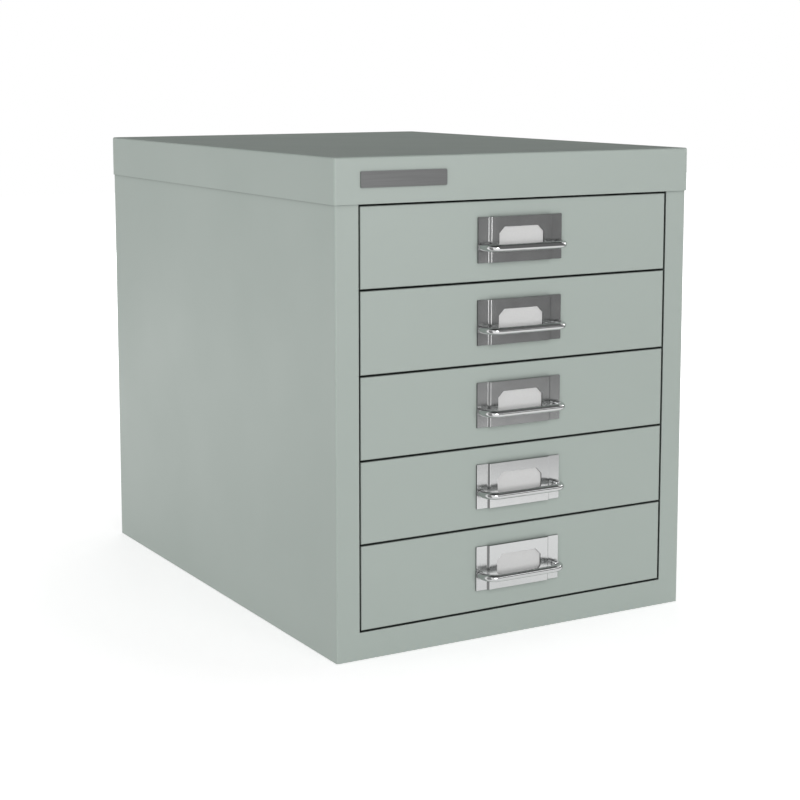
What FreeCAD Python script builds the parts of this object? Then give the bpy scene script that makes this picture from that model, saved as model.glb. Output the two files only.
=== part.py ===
import FreeCAD, Part
import math
import os

import Sketcher

# Small metal drawer cabinet: a folded steel case with a deep lid, two pressed
# runner racks and five shallow drawers. Each drawer front carries a bright label
# holder, a card and a fixed wire pull.
#
# Frame: +X right, +Y to the back, +Z up, in millimetres. The origin lies on the
# underside, below the middle of the lid.

DRAWER_COUNT = 5
LEFT = -1
RIGHT = 1

# Driving sizes. Everything else is worked out from these.
DRIVING_SIZES = {
    # Case
    "lid_width": 278.0,
    "lid_depth": 380.0,
    "lid_skirt": 29.7,
    "lid_edge_radius": 1.4,
    "case_gauge": 0.9,
    "case_edge_radius": 1.1,
    "stile_width": 16.6,
    "stile_return": 24.0,
    "rail_height": 18.2,
    "channel_depth": 14.0,
    "top_flange": 12.0,
    "base_upturn": 12.0,
    "rear_flange_lap": 3.0,
    # Bays, from the top of the bottom rail to the lid's skirt
    "bottom_bay": 57.6,
    "middle_bay": 55.0,
    "top_bay": 54.5,
    "front_gap": 1.2,
    # Runner racks, glide pads and stops
    "groove_depth": 6.6,
    "groove_height": 5.0,
    "web_margin": 3.4,
    "rack_setback": 0.3,
    "glide_thickness": 0.5,
    "glide_length": 14.0,
    "glide_setback": 4.0,
    "glide_margin": 0.5,
    "stop_setback": 35.8,
    "stop_length": 3.0,
    "stop_clearance": 1.1,
    # Drawer trays
    "tray_gauge": 0.8,
    "tray_side_clearance": 1.0,
    "tray_rear_gap": 20.5,
    "run_clearance": 0.2,
    "lip_clearance": 0.6,
    "tab_thickness": 1.5,
    "tab_clearance": 0.7,
    # Drawer fronts
    "front_depth": 15.0,
    "front_edge_radius": 0.8,
    # Label holders and cards
    "holder_width": 66.0,
    "holder_height": 30.0,
    "holder_gauge": 0.8,
    "holder_rise": 0.75,
    "holder_flange": 7.9,
    "raised_slope": 2.0,
    "raised_stand_off": 2.4,
    "window_side_margin": 5.5,
    "window_end_margin": 6.65,
    "window_chamfer": 4.2,
    "card_side_clearance": 0.8,
    "card_end_inset": 1.5,
    "card_thickness": 0.4,
    # Wire pulls and the nuts that hold them
    "wire_diameter": 4.8,
    "wire_shoulder": 0.5,
    "wire_edge_inset": 2.8,
    "pull_reach": 12.8,
    "pull_drop": 4.45,
    "pull_corner_share": 0.68,
    "wire_hole_clearance": 0.08,
    "nut_width": 9.0,
    "nut_thickness": 1.6,
    "nut_clearance": 0.1,
    "wire_stub": 0.8,
    # Blank plate on the lid
    "badge_width": 63.2,
    "badge_height": 10.3,
    "badge_thickness": 0.6,
    "badge_edge_inset": 18.6,
    "badge_top_inset": 9.1,
    "badge_corner_radius": 0.8,
    # Reach of a cutting tool past the sheet that it cuts
    "cut_overrun": 1.0,
}

# Two points closer than this count as one when an edge is looked up.
SAME_POINT = 1e-4


class Size:
    """A size that is known as a number and as a formula over the size sheet."""

    def __init__(self, value, formula):
        self.value = value
        self.formula = formula

    @staticmethod
    def of(thing):
        if isinstance(thing, Size):
            return thing
        return Size(float(thing), f"({float(thing)!r})")

    def __add__(self, other):
        other = Size.of(other)
        return Size(self.value + other.value, f"({self.formula} + {other.formula})")

    def __sub__(self, other):
        other = Size.of(other)
        return Size(self.value - other.value, f"({self.formula} - {other.formula})")

    def __mul__(self, other):
        other = Size.of(other)
        return Size(self.value * other.value, f"({self.formula} * {other.formula})")

    def __truediv__(self, other):
        other = Size.of(other)
        return Size(self.value / other.value, f"({self.formula} / {other.formula})")

    def __neg__(self):
        return Size(-self.value, f"(0 - {self.formula})")


ZERO = Size.of(0)


class Sizes:
    """The driving sizes as Size objects, and the sizes worked out from them."""

    def __init__(self, sheet):
        for name in DRIVING_SIZES:
            setattr(self, name, Size(float(sheet.get(name)), f"{sheet.Name}.{name}"))

        # Case, seen from above
        self.half_lid = self.lid_width / 2
        self.half_body = self.half_lid - self.case_gauge
        self.half_inside = self.half_body - self.case_gauge
        self.half_opening = self.half_body - self.stile_width
        self.body_front = self.case_gauge - self.lid_depth / 2
        self.body_back = -self.body_front
        self.back_inner = self.body_back - self.case_gauge
        self.flange_inner = self.back_inner - self.case_gauge
        self.return_end = self.body_front + self.stile_return

        # Case, from the underside up
        bays = self.bottom_bay + self.middle_bay * (DRAWER_COUNT - 2) + self.top_bay
        self.opening_top = self.rail_height + bays
        self.lid_top = self.opening_top + self.lid_skirt
        self.body_top = self.lid_top - self.case_gauge

        # Runner racks, from the middle of the cabinet outwards
        self.groove_face = self.half_opening - self.case_gauge
        self.land_face = self.groove_face - self.groove_depth
        self.rack_front = self.body_front + self.front_depth + self.rack_setback
        self.half_tray = self.land_face - self.tray_side_clearance
        self.lip_edge = self.groove_face - self.lip_clearance
        self.rear_flange_edge = self.land_face - self.rear_flange_lap

        # Drawers, along their own depth from the outer face of the front
        self.half_front = self.half_opening - self.front_gap
        self.tray_end = self.flange_inner - self.tray_rear_gap - self.body_front
        self.lip_start = self.front_depth + self.rack_setback
        self.nut_face = self.case_gauge + self.tray_gauge
        self.wire_end = self.nut_face + self.nut_thickness + self.wire_stub
        self.wire_radius = self.wire_diameter / 2
        self.tail_radius = self.wire_radius - self.wire_shoulder

        # Label holders, from the middle of the drawer outwards
        self.half_holder = self.holder_width / 2
        self.wire_x = self.half_holder - self.wire_edge_inset
        self.raised_foot = self.half_holder - self.holder_flange
        self.half_raised = self.raised_foot - self.raised_slope
        self.half_window = self.half_raised - self.window_side_margin
        self.half_card = self.half_raised - self.holder_gauge - self.card_side_clearance

    def shelf_line(self, drawer):
        """Height of the middle of the gap below a drawer of the upper four."""
        return self.rail_height + self.bottom_bay + self.middle_bay * (DRAWER_COUNT - 1 - drawer)

    def front_bottom(self, drawer):
        """Lower edge of a drawer's front. Drawer 1 is the top one."""
        if drawer == DRAWER_COUNT:
            return self.rail_height + self.front_gap
        return self.shelf_line(drawer) + self.front_gap / 2

    def front_top(self, drawer):
        """Upper edge of a drawer's front."""
        if drawer == 1:
            return self.opening_top - self.front_gap
        return self.shelf_line(drawer - 1) - self.front_gap / 2

    def front_height(self, drawer):
        return self.front_top(drawer) - self.front_bottom(drawer)

    def groove_roof(self, drawer):
        return self.front_top(drawer) - self.web_margin - self.case_gauge

    def groove_floor(self, drawer):
        return self.groove_roof(drawer) - self.groove_height

    def lip_top(self, drawer):
        """Upper face of a tray's lips, above the lower edge of its front."""
        lip_bottom = self.groove_floor(drawer) + self.glide_thickness + self.run_clearance
        return lip_bottom + self.tray_gauge - self.front_bottom(drawer)

    def holder_middle(self, drawer):
        """Middle of a label holder, above the lower edge of its front."""
        return self.front_height(drawer) / 2 + self.holder_rise

    def wire_height(self, drawer):
        """Where the wire passes through a front, above the front's lower edge."""
        return self.holder_middle(drawer) - self.pull_drop


def bind(thing, path, size):
    """Tie one property of an object to a formula over the sheet."""
    thing.setExpression(path, Size.of(size).formula)


def place(thing, x=ZERO, y=ZERO, z=ZERO):
    bind(thing, "Placement.Base.x", x)
    bind(thing, "Placement.Base.y", y)
    bind(thing, "Placement.Base.z", z)


# PartDesign helpers

def new_body(doc, label):
    body = doc.addObject("PartDesign::Body", label)
    body.Label = label
    return body


def new_sketch(body, name, plane, height=ZERO):
    """An empty sketch on an origin plane, moved along the plane's normal."""
    sketch = body.newObject("Sketcher::SketchObject", name)
    support = next(item for item in body.Origin.OriginFeatures if item.Role == plane)
    sketch.AttachmentSupport = [(support, "")]
    sketch.MapMode = "FlatFace"
    bind(sketch, "AttachmentOffset.Base.z", height)
    return sketch


def draw_outline(sketch, corners):
    """Add one closed outline whose corners are each placed by two sizes."""
    corners = [(Size.of(x), Size.of(y)) for x, y in corners]
    points = [FreeCAD.Vector(x.value, y.value, 0) for x, y in corners]
    first = sketch.GeometryCount
    count = len(points)
    lines = [Part.LineSegment(points[i], points[(i + 1) % count]) for i in range(count)]
    sketch.addGeometry(lines, False)
    rules = []
    for i in range(count):
        rules.append(Sketcher.Constraint("Coincident", first + i, 2, first + (i + 1) % count, 1))
    for i, point in enumerate(points):
        rules.append(Sketcher.Constraint("DistanceX", first + i, 1, point.x))
        rules.append(Sketcher.Constraint("DistanceY", first + i, 1, point.y))
    base = sketch.ConstraintCount
    sketch.addConstraint(rules)
    for i, (x, y) in enumerate(corners):
        bind(sketch, f"Constraints[{base + count + 2 * i}]", x)
        bind(sketch, f"Constraints[{base + count + 2 * i + 1}]", y)


def draw_box(sketch, left, right, low, high):
    draw_outline(sketch, [(left, low), (right, low), (right, high), (left, high)])


def draw_circle(sketch, x, y, radius):
    centre = FreeCAD.Vector(x.value, y.value, 0)
    index = sketch.addGeometry(Part.Circle(centre, FreeCAD.Vector(0, 0, 1), radius.value), False)
    base = sketch.ConstraintCount
    sketch.addConstraint([
        Sketcher.Constraint("DistanceX", index, 3, centre.x),
        Sketcher.Constraint("DistanceY", index, 3, centre.y),
        Sketcher.Constraint("Radius", index, radius.value),
    ])
    bind(sketch, f"Constraints[{base}]", x)
    bind(sketch, f"Constraints[{base + 1}]", y)
    bind(sketch, f"Constraints[{base + 2}]", radius)


def pad(body, sketch, length, backwards=False, both_ways=False):
    feature = body.newObject("PartDesign::Pad", f"{sketch.Name}Pad")
    feature.Profile = sketch
    bind(feature, "Length", length)
    feature.Reversed = backwards
    feature.Midplane = both_ways
    body.Document.recompute()
    return feature


def pocket(body, sketch, length, backwards=False):
    """Cut a sketch out of the body, and make sure that it did cut."""
    before = body.Shape.Volume
    feature = body.newObject("PartDesign::Pocket", f"{sketch.Name}Pocket")
    feature.Profile = sketch
    bind(feature, "Length", length)
    feature.Reversed = backwards
    body.Document.recompute()
    if body.Shape.Volume >= before:
        raise RuntimeError(f"{body.Label}: {sketch.Name} cuts nothing")
    return feature


def fillet(body, radius, wanted):
    """Round the straight edges whose two end points pass the wanted test."""
    base = body.Tip
    names = []
    for number, edge in enumerate(base.Shape.Edges, start=1):
        ends = [vertex.Point for vertex in edge.Vertexes]
        if len(ends) == 2 and wanted(ends[0], ends[1]):
            names.append(f"Edge{number}")
    feature = body.newObject("PartDesign::Fillet", "Fillet")
    feature.Base = (base, names)
    bind(feature, "Radius", radius)
    body.Document.recompute()
    return feature


def near(a, b):
    return abs(a - b) < SAME_POINT


def lesser(first, second):
    """The smaller of two sizes, as a number and as a formula."""
    return Size(min(first.value, second.value), f"min({first.formula}; {second.formula})")


# Part helpers

def new_box(doc, label, left, right, front, back, low, high):
    box = doc.addObject("Part::Box", label)
    box.Label = label
    bind(box, "Length", right - left)
    bind(box, "Width", back - front)
    bind(box, "Height", high - low)
    place(box, left, front, low)
    return box


def new_group(doc, label, members):
    """Several separate solids that share one node."""
    group = doc.addObject("Part::Compound", label)
    group.Label = label
    group.Links = members
    return group


# Case

def make_top_cover(doc, s):
    body = new_body(doc, "top_cover")
    place(body, z=s.opening_top)
    outer = new_sketch(body, "LidOutline", "XY_Plane")
    draw_box(outer, -s.half_lid, s.half_lid, -s.lid_depth / 2, s.lid_depth / 2)
    pad(body, outer, s.lid_skirt)
    inner = new_sketch(body, "LidHollow", "XY_Plane")
    draw_box(inner, -s.half_body, s.half_body, s.body_front, s.body_back)
    pocket(body, inner, s.lid_skirt - s.case_gauge, backwards=True)

    def outside(point):
        return near(abs(point.x), s.half_lid.value) and near(abs(point.y), s.lid_depth.value / 2)

    fillet(body, s.lid_edge_radius, lambda a, b: outside(a) and outside(b)
           and (a.z > s.lid_skirt.value - SAME_POINT or not near(a.z, b.z)))
    return body


def make_side_panel(doc, s, side, label):
    """Side sheet with the front stile and its return, the rear flange and the top flange."""
    body = new_body(doc, label)
    gauge = s.case_gauge
    plan = new_sketch(body, "SidePlan", "XY_Plane")
    draw_outline(plan, [(x * side, y) for x, y in [
        (s.half_opening, s.body_front),
        (s.half_body, s.body_front),
        (s.half_body, s.back_inner),
        (s.rear_flange_edge, s.back_inner),
        (s.rear_flange_edge, s.flange_inner),
        (s.half_inside, s.flange_inner),
        (s.half_inside, s.body_front + gauge),
        (s.half_opening + gauge, s.body_front + gauge),
        (s.half_opening + gauge, s.return_end),
        (s.half_opening, s.return_end),
    ]])
    pad(body, plan, s.body_top)
    fillet(body, s.case_edge_radius, lambda a, b: near(a.x, b.x) and near(a.y, b.y)
           and near(a.y, s.body_front.value) and near(abs(a.x), s.half_body.value))
    flange = new_sketch(body, "TopFlange", "XY_Plane", s.body_top - gauge)
    draw_box(flange, (s.half_inside - s.top_flange) * side, s.half_inside * side,
             s.return_end, s.flange_inner)
    pad(body, flange, gauge)
    return body


def make_back_panel(doc, s):
    return new_box(doc, "back_panel", -s.half_body, s.half_body,
                   s.back_inner, s.body_back, ZERO, s.body_top)


def channel_outline(s, front, back, low, high):
    """A channel in the YZ plane, open to the back, with its web at the front."""
    return [
        (front, low), (back, low), (back, low + s.case_gauge),
        (front + s.case_gauge, low + s.case_gauge),
        (front + s.case_gauge, high - s.case_gauge),
        (front + s.channel_depth, high - s.case_gauge),
        (front + s.channel_depth, high), (front, high),
    ]


def make_base_pan(doc, s):
    """Floor sheet with upturned sides, and the rail below the bottom drawer."""
    body = new_body(doc, "base_pan")
    rail = new_sketch(body, "RailProfile", "YZ_Plane")
    draw_outline(rail, channel_outline(s, s.body_front, s.return_end, ZERO, s.rail_height))
    pad(body, rail, s.half_opening * 2, both_ways=True)
    floor = new_sketch(body, "FloorProfile", "XZ_Plane", -s.return_end)
    gauge = s.case_gauge
    draw_outline(floor, [
        (-s.half_inside, ZERO), (s.half_inside, ZERO),
        (s.half_inside, s.base_upturn), (s.half_inside - gauge, s.base_upturn),
        (s.half_inside - gauge, gauge), (gauge - s.half_inside, gauge),
        (gauge - s.half_inside, s.base_upturn), (-s.half_inside, s.base_upturn),
    ])
    pad(body, floor, s.flange_inner - s.return_end, backwards=True)
    return body


def make_front_header(doc, s):
    """Cross channel behind the lid's skirt, between the two stiles."""
    body = new_body(doc, "front_header")
    profile = new_sketch(body, "HeaderProfile", "YZ_Plane")
    back = s.body_front + s.channel_depth
    draw_outline(profile, channel_outline(s, s.body_front, back, s.opening_top, s.body_top))
    pad(body, profile, s.half_opening * 2, both_ways=True)
    return body


def rack_corners(s):
    """Outline of one pressed rack, from its foot up the inner side and down the outer one."""
    gauge = s.case_gauge
    inner = [(s.land_face, gauge)]
    outer = [(s.land_face + gauge, gauge)]
    for drawer in range(DRAWER_COUNT, 0, -1):
        floor = s.groove_floor(drawer)
        roof = s.groove_roof(drawer)
        inner += [(s.land_face, floor), (s.groove_face, floor),
                  (s.groove_face, roof), (s.land_face, roof)]
        outer += [(s.land_face + gauge, floor - gauge), (s.groove_face + gauge, floor - gauge),
                  (s.groove_face + gauge, roof + gauge), (s.land_face + gauge, roof + gauge)]
    inner.append((s.land_face, s.opening_top))
    outer.append((s.land_face + gauge, s.opening_top))
    return inner + outer[::-1]


def make_runner_rack(doc, s, side, label):
    """Pressed side rack with one groove for each drawer and a stop in each groove."""
    body = new_body(doc, label)
    place(body, y=s.rack_front)
    profile = new_sketch(body, "RackProfile", "XZ_Plane")
    draw_outline(profile, [(x * side, z) for x, z in rack_corners(s)])
    pad(body, profile, s.flange_inner - s.rack_front, backwards=True)
    stops = new_sketch(body, "Stops", "XZ_Plane", -s.stop_setback)
    for drawer in range(1, DRAWER_COUNT + 1):
        low = s.front_bottom(drawer) + s.lip_top(drawer) + s.stop_clearance
        draw_box(stops, s.land_face * side, s.groove_face * side, low, s.groove_roof(drawer))
    pad(body, stops, s.stop_length, backwards=True)
    return body


def make_runner_glides(doc, s, side, label):
    """One plastic pad near the front of each groove floor."""
    inner = s.land_face + s.glide_margin
    outer = s.groove_face - s.glide_margin
    left = inner if side == RIGHT else -outer
    right = outer if side == RIGHT else -inner
    front = s.rack_front + s.glide_setback
    pads = []
    for drawer in range(1, DRAWER_COUNT + 1):
        floor = s.groove_floor(drawer)
        pads.append(new_box(doc, f"{label}_{drawer}", left, right, front,
                            front + s.glide_length, floor, floor + s.glide_thickness))
    return new_group(doc, label, pads)


def make_badge_plate(doc, s):
    """Blank plate on the lid's skirt, at the left."""
    body = new_body(doc, "badge_plate")
    left = s.badge_edge_inset - s.half_lid
    top = s.lid_top - s.badge_top_inset
    place(body, left, -s.lid_depth / 2, top - s.badge_height)
    outline = new_sketch(body, "BadgeOutline", "XZ_Plane")
    draw_box(outline, ZERO, s.badge_width, ZERO, s.badge_height)
    pad(body, outline, s.badge_thickness)
    fillet(body, s.badge_corner_radius, lambda a, b: near(a.x, b.x) and near(a.z, b.z))
    return body


# Drawers

def drawer_body(doc, s, drawer, piece):
    """A body whose frame lies on the outer face of a drawer's front, at its lower edge."""
    body = new_body(doc, f"drawer_{drawer}_{piece}")
    place(body, y=s.body_front, z=s.front_bottom(drawer))
    return body


def draw_wire_holes(sketch, s, drawer):
    for side in (LEFT, RIGHT):
        draw_circle(sketch, s.wire_x * side, s.wire_height(drawer),
                    s.tail_radius + s.wire_hole_clearance)


def make_front(doc, s, drawer):
    """Folded pan, open to the back, with two holes for the wire pull."""
    body = drawer_body(doc, s, drawer, "front")
    height = s.front_height(drawer)
    face = new_sketch(body, "FrontOutline", "XZ_Plane")
    draw_box(face, -s.half_front, s.half_front, ZERO, height)
    pad(body, face, s.front_depth, backwards=True)
    hollow = new_sketch(body, "FrontHollow", "XZ_Plane", -s.case_gauge)
    draw_box(hollow, s.case_gauge - s.half_front, s.half_front - s.case_gauge,
             s.case_gauge, height - s.case_gauge)
    pocket(body, hollow, s.front_depth)

    def on_face(point):
        return near(point.y, 0) and near(abs(point.x), s.half_front.value)

    fillet(body, lesser(s.front_edge_radius, s.case_gauge), lambda a, b: on_face(a) and on_face(b))
    holes = new_sketch(body, "WireHoles", "XZ_Plane")
    draw_wire_holes(holes, s, drawer)
    pocket(body, holes, s.case_gauge + s.cut_overrun)
    return body


def make_tray(doc, s, drawer):
    """Open box with outward lips that run in the rack grooves, and a stop tab on each lip."""
    body = drawer_body(doc, s, drawer, "tray")
    gauge = s.tray_gauge
    low = s.case_gauge
    top = s.lip_top(drawer)
    half = s.half_tray
    trough = new_sketch(body, "Trough", "XZ_Plane", -s.case_gauge)
    draw_outline(trough, [
        (-half, low), (half, low), (half, top), (half - gauge, top),
        (half - gauge, low + gauge), (gauge - half, low + gauge), (gauge - half, top), (-half, top),
    ])
    pad(body, trough, s.tray_end - s.case_gauge, backwards=True)
    for name, start in (("FrontWall", s.case_gauge), ("BackWall", s.tray_end - gauge)):
        wall = new_sketch(body, name, "XZ_Plane", -start)
        draw_box(wall, -half, half, low, top)
        pad(body, wall, gauge, backwards=True)
    lips = new_sketch(body, "Lips", "XZ_Plane", -s.lip_start)
    tabs = new_sketch(body, "Tabs", "XZ_Plane", s.tab_thickness - s.tray_end)
    tab_top = s.groove_roof(drawer) - s.tab_clearance - s.front_bottom(drawer)
    for side in (LEFT, RIGHT):
        draw_box(lips, (half - gauge) * side, s.lip_edge * side, top - gauge, top)
        draw_box(tabs, (s.land_face + s.lip_clearance) * side, s.lip_edge * side,
                 top - gauge, tab_top)
    pad(body, lips, s.tray_end - s.lip_start, backwards=True)
    pad(body, tabs, s.tab_thickness, backwards=True)
    holes = new_sketch(body, "WireHoles", "XZ_Plane")
    draw_wire_holes(holes, s, drawer)
    pocket(body, holes, s.nut_face + s.cut_overrun)
    return body


def window_corners(s, middle):
    """Label window: a rectangle with all four corners cut at 45 degrees."""
    half_width = s.half_window
    half_height = s.holder_height / 2 - s.window_end_margin
    cut = s.window_chamfer
    quarter = [(half_width, half_height - cut), (half_width - cut, half_height)]
    corners = []
    for x_sign, z_sign in ((1, 1), (-1, 1), (-1, -1), (1, -1)):
        pair = [(x * x_sign, middle + z * z_sign) for x, z in quarter]
        corners += pair if x_sign == z_sign else pair[::-1]
    return corners


def make_handle_plate(doc, s, drawer):
    """Label holder: a hat section with a raised middle that leaves a pocket for the card."""
    body = drawer_body(doc, s, drawer, "handle_plate")
    low = s.holder_middle(drawer) - s.holder_height / 2
    half = s.half_holder
    gauge = s.holder_gauge
    top_edge = s.half_raised
    foot = s.raised_foot
    stand = s.raised_stand_off
    bright_side = [(half, -gauge), (foot, -gauge), (top_edge, -stand)]
    back_side = [(top_edge - gauge, gauge - stand), (foot - gauge, ZERO), (half, ZERO)]
    outline = bright_side + [(-x, y) for x, y in reversed(bright_side)]
    outline += [(-x, y) for x, y in reversed(back_side)] + back_side
    section = new_sketch(body, "HatSection", "XY_Plane", low)
    draw_outline(section, outline)
    pad(body, section, s.holder_height)
    window = new_sketch(body, "Window", "XZ_Plane", stand + s.cut_overrun)
    draw_outline(window, window_corners(s, s.holder_middle(drawer)))
    pocket(body, window, stand + s.cut_overrun)
    holes = new_sketch(body, "WireHoles", "XZ_Plane", gauge + s.cut_overrun)
    draw_wire_holes(holes, s, drawer)
    pocket(body, holes, gauge + s.cut_overrun)
    return body


def make_card(doc, s, drawer):
    """Card held against the back of the raised middle, behind the window."""
    front = s.body_front - s.raised_stand_off + s.holder_gauge
    middle = s.front_bottom(drawer) + s.holder_middle(drawer)
    half_height = s.holder_height / 2 - s.card_end_inset
    return new_box(doc, f"drawer_{drawer}_card", -s.half_card, s.half_card,
                   front, front + s.card_thickness, middle - half_height, middle + half_height)


def make_push_nuts(doc, s, drawer):
    """Two ring nuts pressed on the ends of the wire, inside the tray."""
    label = f"drawer_{drawer}_push_nuts"
    nuts = []
    for name, side in (("left", LEFT), ("right", RIGHT)):
        rings = []
        for part, radius in (("disc", s.nut_width / 2), ("bore", s.tail_radius + s.nut_clearance)):
            ring = doc.addObject("Part::Cylinder", f"{label}_{name}_{part}")
            bind(ring, "Radius", radius)
            bind(ring, "Height", s.nut_thickness)
            # The cylinder is turned so that its axis points to the back.
            ring.Placement.Rotation = FreeCAD.Rotation(FreeCAD.Vector(1, 0, 0), -90)
            place(ring, s.wire_x * side, s.body_front + s.nut_face,
                  s.front_bottom(drawer) + s.wire_height(drawer))
            rings.append(ring)
        nut = doc.addObject("Part::Cut", f"{label}_{name}")
        nut.Base = rings[0]
        nut.Tool = rings[1]
        nuts.append(nut)
    return new_group(doc, label, nuts)


def rounded_path(points, radii):
    """Straight runs joined by tangent arcs, one arc at each point between the ends."""
    edges = []
    start = points[0]
    for before, corner, after, radius in zip(points, points[1:], points[2:], radii):
        back = (before - corner).normalize()
        ahead = (after - corner).normalize()
        half_turn = (math.pi - back.getAngle(ahead)) / 2
        reach = radius * math.tan(half_turn)
        arc_start = corner + back * reach
        arc_end = corner + ahead * reach
        inward = (back + ahead).normalize()
        arc_middle = corner + inward * (radius / math.cos(half_turn) - radius)
        edges.append(Part.LineSegment(start, arc_start).toShape())
        edges.append(Part.Arc(arc_start, arc_middle, arc_end).toShape())
        start = arc_end
    edges.append(Part.LineSegment(start, points[-1]).toShape())
    return Part.Wire(edges)


def pull_path(s):
    """Middle line of the wire in front of the holder, from its left end to its right end."""
    side = s.wire_x.value
    root = -s.holder_gauge.value
    reach = -s.pull_reach.value
    corner_radius = (s.pull_reach - s.holder_gauge).value * s.pull_corner_share.value
    points = [FreeCAD.Vector(x, y, 0) for x, y in
              ((-side, root), (-side, reach), (side, reach), (side, root))]
    return rounded_path(points, [corner_radius, corner_radius])


def make_handle_loop(doc, s, drawer):
    """Fixed pull: one bent wire, with thinner tails that pass through the front and the tray."""
    path = pull_path(s)
    start = path.OrderedVertexes[0].Point
    ring = Part.makeCircle(s.wire_radius.value, start, FreeCAD.Vector(0, 1, 0))
    wire = path.makePipeShell([Part.Wire(ring)], True, False)
    tail_start = (s.holder_gauge + s.cut_overrun).value
    tails = [Part.makeCylinder(s.tail_radius.value, tail_start + s.wire_end.value,
                               FreeCAD.Vector(s.wire_x.value * side, -tail_start, 0),
                               FreeCAD.Vector(0, 1, 0)) for side in (LEFT, RIGHT)]
    loop = doc.addObject("Part::Feature", f"drawer_{drawer}_handle_loop")
    loop.Label = f"drawer_{drawer}_handle_loop"
    loop.Shape = wire.fuse(tails).removeSplitter()
    place(loop, y=s.body_front, z=s.front_bottom(drawer) + s.wire_height(drawer))
    return loop


def make_drawer(doc, s, drawer):
    return [
        make_tray(doc, s, drawer),
        make_front(doc, s, drawer),
        make_handle_plate(doc, s, drawer),
        make_card(doc, s, drawer),
        make_push_nuts(doc, s, drawer),
        make_handle_loop(doc, s, drawer),
    ]


def make_case(doc, s):
    return [
        make_top_cover(doc, s),
        make_side_panel(doc, s, LEFT, "left_side_panel"),
        make_side_panel(doc, s, RIGHT, "right_side_panel"),
        make_back_panel(doc, s),
        make_base_pan(doc, s),
        make_front_header(doc, s),
        make_runner_rack(doc, s, LEFT, "left_runner_rack"),
        make_runner_rack(doc, s, RIGHT, "right_runner_rack"),
        make_runner_glides(doc, s, LEFT, "left_runner_glides"),
        make_runner_glides(doc, s, RIGHT, "right_runner_glides"),
        make_badge_plate(doc, s),
    ]


def make_sheet(doc):
    sheet = doc.addObject("Spreadsheet::Sheet", "Sizes")
    for row, (name, value) in enumerate(DRIVING_SIZES.items(), start=1):
        sheet.set(f"A{row}", name)
        sheet.set(f"B{row}", str(value))
        sheet.setAlias(f"B{row}", name)
    doc.recompute()
    return sheet


def check_document(doc, pieces):
    """Stop before anything is written if a feature failed or a piece isn't sound."""
    for thing in doc.Objects:
        if "Invalid" in thing.State or "Error" in thing.State:
            raise RuntimeError(f"{thing.Label} failed: {thing.State}")
    for piece in pieces:
        if piece.Shape.isNull() or not piece.Shape.isValid() or not piece.Shape.Solids:
            raise RuntimeError(f"{piece.Label} has no valid solid")


def main():
    doc = FreeCAD.newDocument("DrawerCabinet")
    sizes = Sizes(make_sheet(doc))
    pieces = make_case(doc, sizes)
    for drawer in range(1, DRAWER_COUNT + 1):
        pieces += make_drawer(doc, sizes, drawer)
    doc.recompute()
    check_document(doc, pieces)
    os.makedirs("parts", exist_ok=True)
    for piece in pieces:
        piece.Shape.exportStep(f"parts/{piece.Label}.step")
        box = piece.Shape.BoundBox
        print(f"{piece.Label}: {len(piece.Shape.Solids)} solid(s), {piece.Shape.Volume:.0f} mm3, "
              f"x {box.XMin:.2f}..{box.XMax:.2f}, y {box.YMin:.2f}..{box.YMax:.2f}, "
              f"z {box.ZMin:.2f}..{box.ZMax:.2f}")


main()
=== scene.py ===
"""A small desk-top cabinet of painted sheet steel with five shallow drawers.

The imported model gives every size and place. Panels, fronts and trays keep their own
meshes and get their finish here. The label holders, wire pulls and cards are made here
as finer meshes and curves, and they ride on the same drawers as the solids that they
stand for. All lengths in the classes are in millimetres, in the cabinet's own frame:
+X to the right of someone who faces the drawers, +Y to the back, +Z up.
"""

import logging
import math
from dataclasses import dataclass
from enum import Enum, IntEnum

import bmesh
import bpy
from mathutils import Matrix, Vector


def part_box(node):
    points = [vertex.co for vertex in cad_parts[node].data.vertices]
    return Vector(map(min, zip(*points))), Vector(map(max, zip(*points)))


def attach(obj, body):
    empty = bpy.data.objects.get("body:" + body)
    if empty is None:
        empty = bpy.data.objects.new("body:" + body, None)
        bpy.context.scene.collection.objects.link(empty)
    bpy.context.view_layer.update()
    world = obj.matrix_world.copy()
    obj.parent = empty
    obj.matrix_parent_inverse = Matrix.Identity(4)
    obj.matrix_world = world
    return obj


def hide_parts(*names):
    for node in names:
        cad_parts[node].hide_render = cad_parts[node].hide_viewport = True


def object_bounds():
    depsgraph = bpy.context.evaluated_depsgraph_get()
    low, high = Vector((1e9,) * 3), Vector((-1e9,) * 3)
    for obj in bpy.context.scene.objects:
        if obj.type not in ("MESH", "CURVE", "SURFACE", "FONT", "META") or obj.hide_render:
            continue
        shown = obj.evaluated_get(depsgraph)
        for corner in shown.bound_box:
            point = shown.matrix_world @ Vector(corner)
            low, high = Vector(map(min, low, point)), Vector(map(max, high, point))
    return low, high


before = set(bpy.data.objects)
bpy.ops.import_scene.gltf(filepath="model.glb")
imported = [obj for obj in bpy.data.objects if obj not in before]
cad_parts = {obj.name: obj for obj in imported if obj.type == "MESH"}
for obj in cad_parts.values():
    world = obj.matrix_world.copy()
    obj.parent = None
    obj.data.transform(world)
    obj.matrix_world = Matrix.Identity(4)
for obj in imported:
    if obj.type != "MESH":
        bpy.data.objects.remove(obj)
CAD_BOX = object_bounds()

MM = 0.001
DRAWERS = range(1, 6)
WHITE_LIGHT = (1.0, 1.0, 1.0, 1.0)
BLACK = (0.0, 0.0, 0.0, 1.0)
# Most values of a noise lie between these two.
NOISE_LOW, NOISE_HIGH = 0.3, 0.7
# Two faces that turn more than this from each other have a sharp edge between them.
SHARP_DEGREES = 40
ROUNDING_STEPS = 2
log = logging.getLogger("cabinet")


class Side(Enum):
    """The two ends of a piece that is the same on both, seen from the front."""

    LEFT = -1
    RIGHT = 1


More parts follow.
